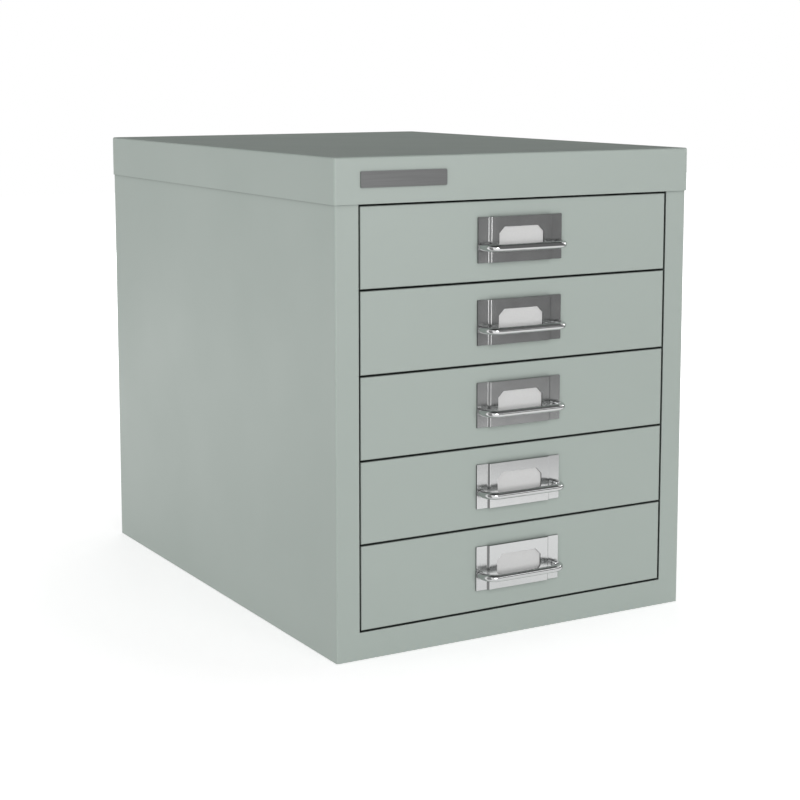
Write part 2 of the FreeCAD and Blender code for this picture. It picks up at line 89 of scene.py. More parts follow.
class Seen(Enum):
    """Which surfaces show a lamp."""

    BY_ALL = "all"
    BY_MATT_ONLY = "matt"


class Row(IntEnum):
    """The rows of a label holder's strip, from the bottom."""

    BELOW_WINDOW = 0
    LOW_CHAMFERS = 1
    MIDDLE = 2
    HIGH_CHAMFERS = 3
    ABOVE_WINDOW = 4


# Stands for a cell of the strip of which nothing is left.
WHOLE_CELL = 4
# A point of a wire's line, with the handle before it and the handle after it.
WirePoint = tuple[Vector, Vector, Vector]


# Shader helpers


def linear(code: str) -> tuple[float, float, float, float]:
    """Turn an sRGB hex colour into linear light.

    Args:
        code: the colour, such as "#A6B0AA".

    Returns:
        Red, green, blue and a full alpha.
    """
    shares = [int(code[i:i + 2], 16) / 255 for i in (1, 3, 5)]
    red, green, blue = (
        share / 12.92 if share <= 0.04045 else ((share + 0.055) / 1.055) ** 2.4
        for share in shares
    )
    return red, green, blue, 1.0


def per_metre(size_mm: float) -> float:
    """Texture scale at which one feature is about as wide as a size in millimetres."""
    return 1 / (size_mm * MM)


def add_node(
    tree: bpy.types.NodeTree,
    kind: str,
    settings: dict | None = None,
    links: dict | None = None,
) -> bpy.types.Node:
    """Add one shader node with its settings and links.

    Args:
        tree: the node tree of a material or of the world.
        kind: the type of the node.
        settings: values by name. A name that the node has as a property is set there,
            and any other names or numbers an input socket.
        links: the output sockets that feed the node, by input name or number.

    Returns:
        The new node.
    """
    node = tree.nodes.new(kind)
    for name, value in (settings or {}).items():
        if isinstance(name, str) and hasattr(node, name):
            setattr(node, name, value)
        else:
            node.inputs[name].default_value = value
    for name, socket in (links or {}).items():
        tree.links.new(socket, node.inputs[name])
    return node


# Finishes


@dataclass(frozen=True)
class Finish:
    """A named surface. Each kind of finish says what its shader is made of."""

    name: str

    def material(self) -> bpy.types.Material:
        """Give the material of this finish, made the first time that it is asked for.

        Returns:
            The material, shared by all pieces with this finish.
        """
        found = bpy.data.materials.get(self.name)
        if found is None:
            found = bpy.data.materials.new(self.name)
            found.use_nodes = True
            self.dress(found.node_tree, found.node_tree.nodes["Principled BSDF"])
        return found

    def dress(self, tree: bpy.types.NodeTree, shader: bpy.types.Node) -> None:
        """Set up the shader. Each kind of finish has its own."""
        raise NotImplementedError


@dataclass(frozen=True)
class StovedEnamel(Finish):
    """Stoved enamel sprayed on sheet steel.

    It gives the eye a flat grey-green with a soft satin sheen, the faint orange peel of
    a sprayed coat, and a tone that drifts a little over a panel. Its colour darkens in
    seams, gaps and inner corners as painted shade.
    """

    colour: str = "#A6B0AA"
    drift_colour: str = "#A2ACA6"
    satin: tuple[float, float] = (0.40, 0.47)
    drift_mm: float = 90.0
    # Real orange peel is 1 to 2 mm wide, less than two pixels of the picture, so it is
    # drawn three times as wide, with the slope kept.
    peel_mm: float = 5.0
    peel_depth_mm: float = 0.012
    # Thin sheet is never quite flat between its folds.
    wave_mm: float = 140.0
    wave_depth_mm: float = 0.08
    # Painted shade: ambient occlusion darkens the colour towards this in seams, gaps and corners.
    painted_shade_colour: str = "#242A27"
    painted_shade_reach_mm: float = 4.5
    painted_shade_samples: int = 6
    ior: float = 1.5

    def dress(self, tree: bpy.types.NodeTree, shader: bpy.types.Node) -> None:
        """Build the tone, sheen, orange peel, sheet wave and painted seam shade of the enamel.

        Args:
            tree: the material's node tree.
            shader: its principled shader.
        """
        place = add_node(tree, "ShaderNodeTexCoord").outputs["Object"]
        drift = add_node(tree, "ShaderNodeTexNoise",
                         {"Scale": per_metre(self.drift_mm), "Detail": 3.0}, {"Vector": place})
        tone = add_node(tree, "ShaderNodeMix",
                        {"data_type": "RGBA", 6: linear(self.colour), 7: linear(self.drift_colour)},
                        {0: drift.outputs["Fac"]})
        peel = add_node(tree, "ShaderNodeTexNoise",
                        {"Scale": per_metre(self.peel_mm), "Detail": 1.0}, {"Vector": place})
        sheen = add_node(tree, "ShaderNodeMapRange",
                         {"From Min": NOISE_LOW, "From Max": NOISE_HIGH,
                          "To Min": self.satin[0], "To Max": self.satin[1]},
                         {"Value": drift.outputs["Fac"]})
        wave = add_node(tree, "ShaderNodeTexNoise",
                        {"Scale": per_metre(self.wave_mm), "Detail": 0.0}, {"Vector": place})
        sheet = add_node(tree, "ShaderNodeBump", {"Distance": self.wave_depth_mm * MM},
                         {"Height": wave.outputs["Fac"]})
        coat = add_node(tree, "ShaderNodeBump", {"Distance": self.peel_depth_mm * MM},
                        {"Height": peel.outputs["Fac"], "Normal": sheet.outputs["Normal"]})
        # Painted shade: the base colour darkens where ambient occlusion finds surfaces close by.
        occlusion_shade = add_node(tree, "ShaderNodeAmbientOcclusion",
                        {"samples": self.painted_shade_samples, "Distance": self.painted_shade_reach_mm * MM})
        shaded_tone = add_node(tree, "ShaderNodeMix", {"data_type": "RGBA", 6: linear(self.painted_shade_colour)},
                        {0: occlusion_shade.outputs["AO"], 7: tone.outputs[2]})
        tree.links.new(shaded_tone.outputs[2], shader.inputs["Base Color"])
        tree.links.new(sheen.outputs["Result"], shader.inputs["Roughness"])
        tree.links.new(coat.outputs["Normal"], shader.inputs["Normal"])
        shader.inputs["IOR"].default_value = self.ior


@dataclass(frozen=True)
class ChromePlate(Finish):
    """Bright chromium plated on pressed steel strip or drawn wire.

    It gives the eye a neutral mirror that is a little soft, with the slight wobble of
    thin pressed metal and faint cloudiness from polishing. Drawn wire is polished all
    round and mirrors more sharply than strip. Cut edges are dull, and their dark colour
    is partly painted shade. Inner corners darken as painted shade.
    """

    polish: tuple[float, float] = (0.16, 0.19)
    wobble_depth_mm: float = 0.006
    colour: str = "#C4C5C5"
    # Painted shade: ambient occlusion darkens the colour towards this in inner corners.
    painted_shade_colour: str = "#1B1C1C"
    painted_shade_reach_mm: float = 1.2
    painted_shade_samples: int = 6
    cloud_mm: float = 7.0
    wobble_mm: float = 16.0

    def dress(self, tree: bpy.types.NodeTree, shader: bpy.types.Node) -> None:
        """Build the polish, the wobble and the painted shade in the corners of the plated metal.

        Args:
            tree: the material's node tree.
            shader: its principled shader.
        """
        place = add_node(tree, "ShaderNodeTexCoord").outputs["Object"]
        cloud = add_node(tree, "ShaderNodeTexNoise",
                         {"Scale": per_metre(self.cloud_mm), "Detail": 4.0}, {"Vector": place})
        polish = add_node(tree, "ShaderNodeMapRange",
                          {"From Min": NOISE_LOW, "From Max": NOISE_HIGH,
                           "To Min": self.polish[0], "To Max": self.polish[1]},
                          {"Value": cloud.outputs["Fac"]})
        wobble = add_node(tree, "ShaderNodeTexNoise",
                          {"Scale": per_metre(self.wobble_mm), "Detail": 0.0}, {"Vector": place})
        bump = add_node(tree, "ShaderNodeBump", {"Distance": self.wobble_depth_mm * MM},
                        {"Height": wobble.outputs["Fac"]})
        # Painted shade: the base colour darkens where ambient occlusion finds surfaces close by.
        occlusion_shade = add_node(tree, "ShaderNodeAmbientOcclusion",
                        {"samples": self.painted_shade_samples, "Distance": self.painted_shade_reach_mm * MM})
        plated = add_node(tree, "ShaderNodeMix",
                          {"data_type": "RGBA", 6: linear(self.painted_shade_colour),
                           7: linear(self.colour)},
                          {0: occlusion_shade.outputs["AO"]})
        tree.links.new(plated.outputs[2], shader.inputs["Base Color"])
        tree.links.new(polish.outputs["Result"], shader.inputs["Roughness"])
        tree.links.new(bump.outputs["Normal"], shader.inputs["Normal"])
        shader.inputs["Metallic"].default_value = 1.0


@dataclass(frozen=True)
class BrushedNickel(Finish):
    """Nickel silver strip, brushed along its length and left dull.

    It gives the eye a dark grey metal with fine level lines and a broad, quiet sheen.
    """

    colour: str = "#8C8D8D"
    shade: str = "#7C7D7D"
    roughness: float = 0.36
    # Brushing lines are about 0.1 mm apart. They are drawn 0.7 mm apart to show at all.
    line_mm: float = 0.7
    run_mm: float = 40.0
    line_depth_mm: float = 0.004

    def dress(self, tree: bpy.types.NodeTree, shader: bpy.types.Node) -> None:
        """Build the brushing lines, which run along X.

        Args:
            tree: the material's node tree.
            shader: its principled shader.
        """
        place = add_node(tree, "ShaderNodeTexCoord").outputs["Object"]
        across = per_metre(self.line_mm)
        stretched = add_node(tree, "ShaderNodeMapping",
                             {"Scale": (per_metre(self.run_mm), across, across)}, {"Vector": place})
        lines = add_node(tree, "ShaderNodeTexNoise", {"Scale": 1.0, "Detail": 3.0},
                         {"Vector": stretched.outputs["Vector"]})
        tone = add_node(tree, "ShaderNodeMix",
                        {"data_type": "RGBA", 6: linear(self.colour), 7: linear(self.shade)},
                        {0: lines.outputs["Fac"]})
        bump = add_node(tree, "ShaderNodeBump", {"Distance": self.line_depth_mm * MM},
                        {"Height": lines.outputs["Fac"]})
        tree.links.new(tone.outputs[2], shader.inputs["Base Color"])
        tree.links.new(bump.outputs["Normal"], shader.inputs["Normal"])
        shader.inputs["Metallic"].default_value = 1.0
        shader.inputs["Roughness"].default_value = self.roughness


@dataclass(frozen=True)
class ZincPlate(Finish):
    """Bright zinc on small stamped steel nuts.

    It gives the eye a pale blue-grey metal, crystal grains apart in tone, duller than
    the chromium of the pulls.
    """

    colour: str = "#C3C7C9"
    shade: str = "#A4A9AC"
    grain_mm: float = 1.4
    roughness: float = 0.34

    def dress(self, tree: bpy.types.NodeTree, shader: bpy.types.Node) -> None:
        """Build the crystal grains of the zinc.

        Args:
            tree: the material's node tree.
            shader: its principled shader.
        """
        place = add_node(tree, "ShaderNodeTexCoord").outputs["Object"]
        grain = add_node(tree, "ShaderNodeTexVoronoi", {"Scale": per_metre(self.grain_mm)},
                         {"Vector": place})
        tone = add_node(tree, "ShaderNodeMix",
                        {"data_type": "RGBA", 6: linear(self.colour), 7: linear(self.shade)},
                        {0: grain.outputs["Color"]})
        tree.links.new(tone.outputs[2], shader.inputs["Base Color"])
        shader.inputs["Metallic"].default_value = 1.0
        shader.inputs["Roughness"].default_value = self.roughness


@dataclass(frozen=True)
class CardStock(Finish):
    """Uncoated white index card.

    It gives the eye a dead matt, slightly grey white with a trace of paper fibre.
    """

    colour: str = "#D6D6D6"
    fibre_colour: str = "#CCCCCB"
    roughness: float = 0.85
    # Fibre flocks are about 0.5 mm across, drawn twice as wide to show in a close view.
    flock_mm: float = 1.0
    flock_depth_mm: float = 0.02

    def dress(self, tree: bpy.types.NodeTree, shader: bpy.types.Node) -> None:
        """Build the fibre and tooth of the card.

        Args:
            tree: the material's node tree.
            shader: its principled shader.
        """
        place = add_node(tree, "ShaderNodeTexCoord").outputs["Object"]
        flock = add_node(tree, "ShaderNodeTexNoise",
                         {"Scale": per_metre(self.flock_mm), "Detail": 5.0}, {"Vector": place})
        tone = add_node(tree, "ShaderNodeMix",
                        {"data_type": "RGBA", 6: linear(self.colour), 7: linear(self.fibre_colour)},
                        {0: flock.outputs["Fac"]})
        tooth = add_node(tree, "ShaderNodeBump",
                         {"Distance": self.flock_depth_mm * MM}, {"Height": flock.outputs["Fac"]})
        tree.links.new(tone.outputs[2], shader.inputs["Base Color"])
        tree.links.new(tooth.outputs["Normal"], shader.inputs["Normal"])
        shader.inputs["Roughness"].default_value = self.roughness


@dataclass(frozen=True)
class NaturalNylon(Finish):
    """Natural nylon, injection moulded.

    It gives the eye a milky off-white that lets a little light in, with a fine spark
    eroded texture.
    """

    colour: str = "#E2DFD3"
    shade: str = "#D8D4C6"
    roughness: float = 0.48
    grain_mm: float = 0.6
    grain_depth_mm: float = 0.01
    ior: float = 1.53
    # Light that enters comes out again within about a millimetre, red the furthest.
    milkiness: float = 0.2
    milk_reach_mm: float = 1.0
    milk_shares: tuple[float, float, float] = (1.0, 0.9, 0.7)

    def dress(self, tree: bpy.types.NodeTree, shader: bpy.types.Node) -> None:
        """Build the milky tone and the moulded grain.

        Args:
            tree: the material's node tree.
            shader: its principled shader.
        """
        place = add_node(tree, "ShaderNodeTexCoord").outputs["Object"]
        grain = add_node(tree, "ShaderNodeTexNoise",
                         {"Scale": per_metre(self.grain_mm), "Detail": 2.0}, {"Vector": place})
        tone = add_node(tree, "ShaderNodeMix",
                        {"data_type": "RGBA", 6: linear(self.colour), 7: linear(self.shade)},
                        {0: grain.outputs["Fac"]})
        bump = add_node(tree, "ShaderNodeBump", {"Distance": self.grain_depth_mm * MM},
                        {"Height": grain.outputs["Fac"]})
        tree.links.new(tone.outputs[2], shader.inputs["Base Color"])
        tree.links.new(bump.outputs["Normal"], shader.inputs["Normal"])
        shader.inputs["Roughness"].default_value = self.roughness
        shader.inputs["IOR"].default_value = self.ior
        shader.inputs["Subsurface Weight"].default_value = self.milkiness
        shader.inputs["Subsurface Radius"].default_value = self.milk_shares
        shader.inputs["Subsurface Scale"].default_value = self.milk_reach_mm * MM


@dataclass(frozen=True)
class StudioPaper(Finish):
    """White background paper under the cabinet.

    It gives the eye a white ground that still takes the cabinet's soft shadow, and the
    same white in the bright metal.
    """

    colour: str = "#E0E0E0"
    roughness: float = 0.9
    # The lift is weak near the cabinet, where the shadow lies, and full beyond far_mm.
    near_lift: float = 0.56
    far_lift: float = 1.0
    near_mm: float = 250.0
    far_mm: float = 900.0

    def dress(self, tree: bpy.types.NodeTree, shader: bpy.types.Node) -> None:
        """Build matt paper, lifted to white for the rays that show it, and in full far out.

        Args:
            tree: the material's node tree.
            shader: its principled shader.
        """
        shader.inputs["Base Color"].default_value = linear(self.colour)
        shader.inputs["Roughness"].default_value = self.roughness
        shader.inputs["Specular IOR Level"].default_value = 0.0
        shader.inputs["Emission Color"].default_value = WHITE_LIGHT
        place = add_node(tree, "ShaderNodeTexCoord").outputs["Object"]
        distance = add_node(tree, "ShaderNodeVectorMath", {"operation": "LENGTH"}, {0: place})
        lift = add_node(tree, "ShaderNodeMapRange",
                        {"From Min": self.near_mm * MM, "From Max": self.far_mm * MM,
                         "To Min": self.near_lift, "To Max": self.far_lift},
                        {"Value": distance.outputs["Value"]})
        strength = add_node(tree, "ShaderNodeMath", {"operation": "MULTIPLY"},
                            {0: shown_rays(tree), 1: lift.outputs["Result"]})
        tree.links.new(strength.outputs[0], shader.inputs["Emission Strength"])


@dataclass(frozen=True)
class GreyCard(Finish):
    """Studio card of one plain tone, from near black to bright, for the metal to mirror."""

    level: float

    def dress(self, tree: bpy.types.NodeTree, shader: bpy.types.Node) -> None:
        """Give the card one steady tone, whatever light falls on it.

        Args:
            tree: the material's node tree.
            shader: its principled shader.
        """
        shader.inputs["Base Color"].default_value = BLACK
        shader.inputs["Specular IOR Level"].default_value = 0.0
        shader.inputs["Emission Color"].default_value = WHITE_LIGHT
        shader.inputs["Emission Strength"].default_value = self.level


def shown_rays(tree: bpy.types.NodeTree) -> bpy.types.NodeSocket:
    """Make the nodes that tell rays which show the background from rays which light.

    Args:
        tree: the node tree of a material or of the world.

    Returns:
        A socket that is 1 for camera, glossy and transmission rays, and 0 for others.
    """
    path = add_node(tree, "ShaderNodeLightPath").outputs
    first = add_node(tree, "ShaderNodeMath", {"operation": "MAXIMUM"},
                     {0: path["Is Camera Ray"], 1: path["Is Glossy Ray"]})
    both = add_node(tree, "ShaderNodeMath", {"operation": "MAXIMUM"},
                    {0: first.outputs[0], 1: path["Is Transmission Ray"]})
    return both.outputs[0]


ENAMEL = StovedEnamel("stoved_enamel_grey_green")
CHROME_STRIP = ChromePlate("chromium_plated_strip")
# Sheared edges: dull chrome, made dark partly as painted shade.
CHROME_EDGE = ChromePlate("chromium_cut_edge_painted_shade", (0.30, 0.36), colour="#5E5F5F")
CHROME_WIRE = ChromePlate("chromium_plated_wire", (0.03, 0.05), 0.001)
NICKEL = BrushedNickel("brushed_nickel_silver")
ZINC = ZincPlate("bright_zinc_plated_steel")
CARD = CardStock("white_index_card")
NYLON = NaturalNylon("natural_nylon")
PAPER = StudioPaper("studio_paper")
DARK_GREY = GreyCard("studio_dark_grey_card", 0.06)
GREY = GreyCard("studio_grey_card", 0.19)
MIDDLE_GREY = GreyCard("studio_middle_grey_card", 0.34)
PALE_GREY = GreyCard("studio_pale_grey_card", 0.87)
WHITE = GreyCard("studio_white_card", 1.8)


# Mesh helpers


def new_piece(
    name: str, data: bpy.types.Mesh | bpy.types.Curve, finish: Finish
) -> bpy.types.Object:
    """Put new geometry in the scene with its finish.

    Args:
        name: the name of the piece.
        data: its mesh or curve, in the cabinet's frame.
        finish: what it is made of.

    Returns:
        The new object, at the frame's origin.
    """
    piece = bpy.data.objects.new(name, data)
    bpy.context.scene.collection.objects.link(piece)
    data.materials.append(finish.material())
    return piece


def mesh_from(name: str, form: bmesh.types.BMesh) -> bpy.types.Mesh:
    """Turn an edited mesh into mesh data.

    Args:
        name: the name of the data.
        form: the edited mesh, which is freed.

    Returns:
        The new mesh.
    """
    mesh = bpy.data.meshes.new(name)
    form.to_mesh(mesh)
    form.free()
    return mesh


def add_modifier(piece: bpy.types.Object, kind: str, **settings: object) -> None:
    """Add one modifier to a piece.

    Args:
        piece: the object.
        kind: the type of the modifier.
        settings: its properties.
    """
    modifier = piece.modifiers.new(kind.lower(), kind)
    for name, value in settings.items():
        setattr(modifier, name, value)


def round_edges(piece: bpy.types.Object, radius_mm: float) -> None:
    """Round the sharp edges of a piece a little, as paint or tumbling leaves them.

    Args:
        piece: the object.
        radius_mm: how wide the rounding is.
    """
    add_modifier(piece, "BEVEL", width=radius_mm * MM, segments=ROUNDING_STEPS,
                 limit_method="ANGLE", angle_limit=math.radians(SHARP_DEGREES),
                 harden_normals=True)


def round_corners(
    corners: list[tuple[float, float]], radius: float, steps: int
) -> list[tuple[float, float]]:
    """Replace the inner corners of an open line by arcs.

    Args:
        corners: the points of the line.
        radius: the radius of each arc.
        steps: the number of steps in each arc.

    Returns:
        The points of the rounded line.
    """
    points = [corners[0]]
    for before, corner, after in zip(corners, corners[1:], corners[2:]):
        here = Vector(corner)
        back = (Vector(before) - here).normalized()
        ahead = (Vector(after) - here).normalized()
        half = back.angle(ahead) / 2
        centre = here + (back + ahead).normalized() * (radius / math.sin(half))
        start = here + back * (radius / math.tan(half)) - centre
        turn = (math.pi - 2 * half) * (1 if back.cross(ahead) > 0 else -1)
        for step in range(steps + 1):
            angle = -turn * step / steps
            points.append((
                centre.x + start.x * math.cos(angle) - start.y * math.sin(angle),
                centre.y + start.x * math.sin(angle) + start.y * math.cos(angle),
            ))
    points.append(corners[-1])
    return points


# The cabinet


@dataclass
class Case:
    """The welded case: lid, sides, back, floor and the racks that carry the drawers."""

    painted: tuple[str, ...] = ("top_cover", "left_side_panel", "right_side_panel", "back_panel",
                                "base_pan", "front_header", "left_runner_rack", "right_runner_rack")
    glides: tuple[str, ...] = ("left_runner_glides", "right_runner_glides")
    badge: str = "badge_plate"

    def dress(self) -> None:
        """Give every piece of the case its finish."""
        for name in self.painted:
            finish_node(name, ENAMEL)
        for name in self.glides:
            finish_node(name, NYLON)
        finish_node(self.badge, NICKEL)


def finish_node(name: str, finish: Finish) -> None:
    """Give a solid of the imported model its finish.

    Args:
        name: the node.
        finish: what it is made of.
    """
    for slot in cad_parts[name].material_slots:
        slot.material = finish.material()
    log.info("%s: %s", name, finish.name)


@dataclass
class LabelHolder:
    """Pressed strip that stands off the front and frames a card."""

    drawer: int
    flange: float = 8.2
    gauge: float = 0.8
    slope: float = 1.4
    stand_off: float = 2.4
    bend_radius: float = 0.6
    bend_steps: int = 5
    window_side: float = 5.8
    window_end: float = 6.65
    chamfer: float = 4.2
    edge_radius: float = 0.14

    def build(self) -> bpy.types.Object:
        """Make the holder in place of its plain solid.

        Returns:
            The new piece.
        """
        node = f"drawer_{self.drawer}_handle_plate"
        low, high = (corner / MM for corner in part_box(node))
        half = (high.x - low.x) / 2
        foot = half - self.flange
        raised = foot - self.slope
        front_face = low.y
        flange_face = front_face + self.stand_off - self.gauge
        profile = round_corners(
            [(-half, flange_face), (-foot, flange_face), (-raised, front_face),
             (raised, front_face), (foot, flange_face), (half, flange_face)],
            self.bend_radius, self.bend_steps)
        window = raised - self.window_side
        columns = sorted(profile + [(x * side.value, front_face) for side in Side
                                    for x in (window, window - self.chamfer)])
        sill, head = low.z + self.window_end, high.z - self.window_end
        rows = [low.z, sill, sill + self.chamfer, head - self.chamfer, head, high.z]
        form = bmesh.new()
        grid = [[form.verts.new((x * MM, y * MM, z * MM)) for z in rows] for x, y in columns]
        for i in range(len(columns) - 1):
            left, right = columns[i][0], columns[i + 1][0]
            for j in range(len(rows) - 1):
                face = [grid[i][j], grid[i + 1][j], grid[i + 1][j + 1], grid[i][j + 1]]
                missing = self.missing_corner(left, right, j, window)
                if missing == WHOLE_CELL:
                    continue
                if missing is not None:
                    del face[missing]
                form.faces.new(face)
        loose = [vertex for vertex in form.verts if not vertex.link_faces]
        bmesh.ops.delete(form, geom=loose, context="VERTS")
        for face in form.faces:
            face.smooth = True
        piece = new_piece(f"drawer_{self.drawer}_label_holder",
                          mesh_from("label_holder", form), CHROME_STRIP)
        # The press shears the strip's edges, so they are duller than its faces. Their dark colour
        # is partly painted shade, for the thin dark line along the window's edge.
        piece.data.materials.append(CHROME_EDGE.material())
        add_modifier(piece, "SOLIDIFY", thickness=self.gauge * MM, offset=-1.0,
                     material_offset_rim=1)
        round_edges(piece, self.edge_radius)
        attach(piece, f"drawer_{self.drawer}")
        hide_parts(node)
        return piece

    def missing_corner(self, left: float, right: float, row: int, window: float) -> int | None:
        """Say what the window takes out of one cell of the strip.

        Args:
            left: the cell's left edge.
            right: its right edge.
            row: its row, counted from the bottom.
            window: half the window's width.

        Returns:
            None if it takes nothing, WHOLE_CELL if it takes the cell, or the number of the
            corner that lies in the window, counted from the lower left against the clock.
        """
        middle = (left + right) / 2
        if abs(middle) > window or row in (Row.BELOW_WINDOW, Row.ABOVE_WINDOW):
            return None
        if row == Row.MIDDLE or abs(middle) < window - self.chamfer:
            return WHOLE_CELL
        if middle < 0:
            return 2 if row == Row.LOW_CHAMFERS else 1
        return 3 if row == Row.LOW_CHAMFERS else 0


@dataclass
class WirePull:
    """Bent wire out of the holder's flanges that crosses it, level, below its middle."""

    drawer: int
    diameter: float = 4.8
    tail_diameter: float = 3.8
    edge_inset: float = 2.8
    reach: float = 12.8
    drop: float = 4.45
    plate_gauge: float = 0.8
    tail_start: float = 1.8
    inner_length: float = 4.1
    corner_share: float = 0.68
    round_steps: int = 10
    arc_steps: int = 20

    def build(self) -> bpy.types.Object:
        """Make the pull in place of its faceted solid.

        Returns:
            The new piece.
        """
        node = f"drawer_{self.drawer}_handle_loop"
        plate_low, plate_high = (
            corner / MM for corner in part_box(f"drawer_{self.drawer}_handle_plate"))
        wall = plate_high.y
        height = (plate_low.z + plate_high.z) / 2 - self.drop
        side = plate_high.x - self.edge_inset
        root, tip = wall - self.plate_gauge, wall - self.reach
        path = [Vector((-side, root, height)), Vector((-side, tip, height)),
                Vector((side, tip, height)), Vector((side, root, height))]
        curve = bpy.data.curves.new("wire_pull", "CURVE")
        curve.dimensions = "3D"
        curve.bevel_depth = self.diameter / 2 * MM
        curve.bevel_resolution = self.round_steps
        curve.resolution_u = self.arc_steps
        curve.use_fill_caps = True
        corner = (root - tip) * self.corner_share
        add_run(curve, bend_wire(path, [corner, corner]), 1.0)
        for end in Side:
            tail = [Vector((end.value * side, wall + y, height))
                    for y in (-self.tail_start, self.inner_length)]
            add_run(curve, bend_wire(tail, []), self.tail_diameter / self.diameter)
        piece = new_piece(f"drawer_{self.drawer}_wire_pull", curve, CHROME_WIRE)
        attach(piece, f"drawer_{self.drawer}")
        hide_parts(node)
        return piece


def add_run(curve: bpy.types.Curve, bends: list[WirePoint], share: float) -> None:
    """Add one run of wire to a curve.

    Args:
        curve: the curve.
        bends: the points of the run.
        share: the run's thickness as a share of the curve's own.
    """
    spline = curve.splines.new("BEZIER")
    spline.bezier_points.add(len(bends) - 1)
    for target, (place, before, after) in zip(spline.bezier_points, bends):
        target.handle_left_type = target.handle_right_type = "FREE"
        target.co, target.handle_left, target.handle_right = place * MM, before * MM, after * MM
        target.radius = share


def bend_wire(path: list[Vector], radii: list[float]) -> list[WirePoint]:
    """Lay a wire along straight runs with an arc at each inner point.

    Args:
        path: the ends and the corners of the runs.
        radii: the radius of the arc at each corner.

    Returns:
        The points of a Bezier line.
    """
    points = [(path[0], path[0], path[0])]
    for before, corner, after, radius in zip(path, path[1:], path[2:], radii):
        back, ahead = (before - corner).normalized(), (after - corner).normalized()
        turn = math.pi - back.angle(ahead)
        reach = radius * math.tan(turn / 2)
        # Handles of this length bring a Bezier curve closest to an arc.
        pull = 4 / 3 * math.tan(turn / 4) * radius
        start, end = corner + back * reach, corner + ahead * reach
        points.append((start, start, start - back * pull))
        points.append((end, end - ahead * pull, end))
    points.append((path[-1], path[-1], path[-1]))
    return [straighten(points, i) for i in range(len(points))]


def straighten(points: list[WirePoint], number: int) -> WirePoint:
    """Point the handles of a straight run at the run's other end, a third of the way.

    Args:
        points: the points of the Bezier line, with handles on their arcs alone.
        number: which point to give.

    Returns:
        That point with both of its handles.
    """
    place, before, after = points[number]
    if before == place and number > 0:
        before = place.lerp(points[number - 1][0], 1 / 3)
    if after == place and number < len(points) - 1:
        after = place.lerp(points[number + 1][0], 1 / 3)
    return place, before, after


@dataclass
class LabelCard:
    """White card held behind the window, bowed a little by its own spring."""

    drawer: int
    corner: float = 1.2
    corner_degrees: tuple[int, ...] = (0, 30, 60, 90)
    bow: float = 0.25
    # Where the card is divided to follow its bow, as shares of half its width.
    bow_shares: tuple[float, ...] = (-0.75, -0.5, -0.25, 0, 0.25, 0.5, 0.75)
    # How much of the card's thickness its rounded edges take up.
    edge_share: float = 0.125

    def build(self) -> bpy.types.Object:
        """Make the card in place of its plain solid.

        Returns:
            The new piece.
        """
        node = f"drawer_{self.drawer}_card"
        low, high = (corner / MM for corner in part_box(node))
        thickness = high.y - low.y
        middle = (low.z + high.z) / 2
        outline = []
        for x_side, z_side in ((1, 1), (-1, 1), (-1, -1), (1, -1)):
            arc = [(math.cos(math.radians(a)), math.sin(math.radians(a)))
                   for a in self.corner_degrees]
            if x_side != z_side:
                arc.reverse()
            outline += [(x_side * (high.x - self.corner * (1 - c)),
                         middle + z_side * (high.z - middle - self.corner * (1 - s)))
                        for c, s in arc]
        form = bmesh.new()
        form.faces.new([form.verts.new((x * MM, low.y * MM, z * MM)) for x, z in outline])
        for share in self.bow_shares:
            bmesh.ops.bisect_plane(form, geom=form.verts[:] + form.edges[:] + form.faces[:],
                                   plane_co=(high.x * share * MM, 0, 0), plane_no=(1, 0, 0))
        for vertex in form.verts:
            share = vertex.co.x / (high.x * MM)
            vertex.co.y += self.bow * MM * share * share
        for face in form.faces:
            face.smooth = True
            if face.normal.y > 0:
                face.normal_flip()
        piece = new_piece(f"drawer_{self.drawer}_label_card",
                          mesh_from("label_card", form), CARD)
        add_modifier(piece, "SOLIDIFY", thickness=thickness * MM, offset=-1.0)
        round_edges(piece, thickness * self.edge_share)
        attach(piece, f"drawer_{self.drawer}")
        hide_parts(node)
        return piece


@dataclass
class Drawer:
    """One drawer: a tray, its folded front, and what is fixed to the front."""

    number: int

    def build(self) -> None:
        """Finish the drawer's own solids and make its label holder, pull and card."""
        for part, finish in (("tray", ENAMEL), ("front", ENAMEL), ("push_nuts", ZINC)):
            finish_node(f"drawer_{self.number}_{part}", finish)
        for maker in (LabelHolder, WirePull, LabelCard):
            piece = maker(self.number).build()
            log.info("%s: %s", piece.name, piece.data.materials[0].name)


# The studio


@dataclass
class Softbox:
    """Large rectangular lamp that faces the cabinet."""

    name: str
    azimuth: float
    distance: float
    height: float
    width: float
    tall: float
    power: float
    aim_height: float = 160.0
    seen: Seen = Seen.BY_ALL

    def build(self) -> None:
        """Hang the lamp. Azimuth 0 is straight in front, and 90 is at the right."""
        lamp = bpy.data.lights.new(self.name, "AREA")
        lamp.shape = "RECTANGLE"
        lamp.size, lamp.size_y = self.width * MM, self.tall * MM
        lamp.energy = self.power
        piece = bpy.data.objects.new(self.name, lamp)
        bpy.context.scene.collection.objects.link(piece)
        angle = math.radians(self.azimuth)
        piece.location = Vector((math.sin(angle), -math.cos(angle), 0)) * self.distance * MM
        piece.location.z = self.height * MM
        target = Vector((0, 0, self.aim_height * MM))
        piece.rotation_mode = "QUATERNION"
        piece.rotation_quaternion = (target - piece.location).to_track_quat("-Z", "Y")
        piece.visible_glossy = self.seen is not Seen.BY_MATT_ONLY


